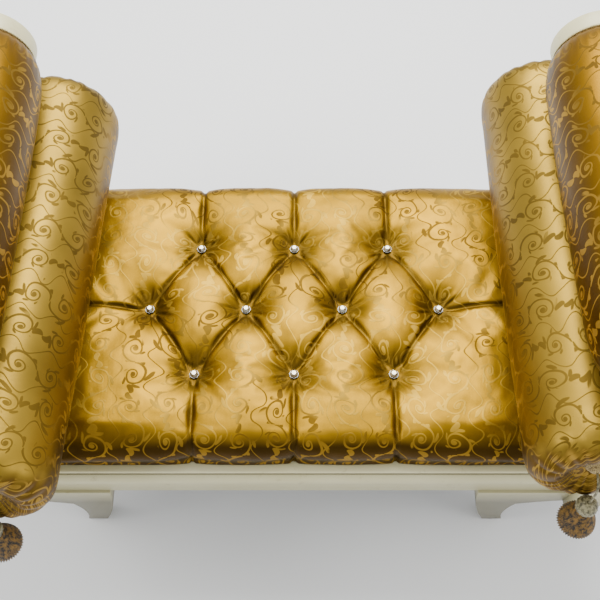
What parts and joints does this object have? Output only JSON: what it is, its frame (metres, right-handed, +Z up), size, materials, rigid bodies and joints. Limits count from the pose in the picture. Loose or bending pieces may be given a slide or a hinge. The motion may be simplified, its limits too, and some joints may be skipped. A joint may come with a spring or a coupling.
{
  "type": "recamier",
  "caption": "Backless tufted window seat in gold damask with scrolled show-wood arms, a loose tasselled bolster in each",
  "frame": {"origin": "on the floor under the middle of the object's bounding box, tassels left out", "axes": "X along the length of the seat from arm to arm, Y from front to back, Z up"},
  "size_m": [1.251, 0.8591, 0.821],
  "materials": {
    "painted_wood": "satin",
    "rail_wood": "matte",
    "damask": "satin",
    "gold_braid": "satin",
    "webbing": "matte",
    "hessian": "matte",
    "lining": "matte",
    "foam": "matte",
    "steel": "satin",
    "crystal": "gloss",
    "glide_plastic": "matte"
  },
  "bodies": {
    "frame": {"front_seat_rail": "painted_wood", "back_seat_rail": "painted_wood", "left_end_rail": "rail_wood", "right_end_rail": "rail_wood", "cross_rails": "rail_wood", "corner_blocks": "rail_wood", "corner_block_screws": "steel", "leg_bolts": "steel", "frame_dowels": "rail_wood", "left_front_leg": "painted_wood", "right_front_leg": "painted_wood", "left_back_leg": "painted_wood", "right_back_leg": "painted_wood", "foot_glides": "glide_plastic", "left_arm_front_board": "painted_wood", "left_arm_back_board": "painted_wood", "left_arm_roll_batten": "rail_wood", "left_arm_lower_batten": "rail_wood", "left_arm_web": "webbing", "left_arm_belly_pad": "damask", "left_arm_roll_pad": "damask", "left_arm_cord_trim": "gold_braid", "left_arm_outside_panel": "damask", "right_arm_front_board": "painted_wood", "right_arm_back_board": "painted_wood", "right_arm_roll_batten": "rail_wood", "right_arm_lower_batten": "rail_wood", "right_arm_web": "webbing", "right_arm_belly_pad": "damask", "right_arm_roll_pad": "damask", "right_arm_cord_trim": "gold_braid", "right_arm_outside_panel": "damask", "webbing_across": "webbing", "webbing_lengthwise": "webbing", "seat_hessian": "hessian", "seat_foam": "foam", "tufting_twines": "webbing", "twine_toggles": "rail_wood", "tufted_seat_cover": "damask", "button_cups": "steel", "crystal_buttons": "crystal", "dust_cover": "lining"},
    "left_bolster_body": {"left_bolster": "damask", "left_bolster_rosettes": "gold_braid"},
    "right_bolster_body": {"right_bolster": "damask", "right_bolster_rosettes": "gold_braid"},
    "left_front_tassel_body": {"left_front_tassel_cord": "gold_braid", "left_front_tassel_head": "gold_braid", "left_front_tassel_skirt": "gold_braid"},
    "left_back_tassel_body": {"left_back_tassel_cord": "gold_braid", "left_back_tassel_head": "gold_braid", "left_back_tassel_skirt": "gold_braid"},
    "right_front_tassel_body": {"right_front_tassel_cord": "gold_braid", "right_front_tassel_head": "gold_braid", "right_front_tassel_skirt": "gold_braid"},
    "right_back_tassel_body": {"right_back_tassel_cord": "gold_braid", "right_back_tassel_head": "gold_braid", "right_back_tassel_skirt": "gold_braid"}
  },
  "joints": [
    {"name": "left_bolster_out", "type": "slide", "parent": "frame", "child": "left_bolster_body", "axis": [0.9893, -0.0432, 0.1392], "range_m": [0, 0.25]},
    {"name": "right_bolster_out", "type": "slide", "parent": "frame", "child": "right_bolster_body", "axis": [-0.9903, 0, 0.1392], "range_m": [0, 0.25]},
    {"name": "left_front_tassel_swing", "type": "hinge", "parent": "left_bolster_body", "child": "left_front_tassel_body", "pos_m": [-0.44087, -0.37466, 0.5333], "axis": [0.0436, 0.999, 0], "range_deg": [-30, 30]},
    {"name": "left_back_tassel_swing", "type": "hinge", "parent": "left_bolster_body", "child": "left_back_tassel_body", "pos_m": [-0.40973, 0.33866, 0.5333], "axis": [0.0436, 0.999, 0], "range_deg": [-30, 30]},
    {"name": "right_front_tassel_swing", "type": "hinge", "parent": "right_bolster_body", "child": "right_front_tassel_body", "pos_m": [0.435, -0.3385, 0.5333], "axis": [0, 1, 0], "range_deg": [-30, 30]},
    {"name": "right_back_tassel_swing", "type": "hinge", "parent": "right_bolster_body", "child": "right_back_tassel_body", "pos_m": [0.435, 0.3755, 0.5333], "axis": [0, 1, 0], "range_deg": [-30, 30]}
  ]
}
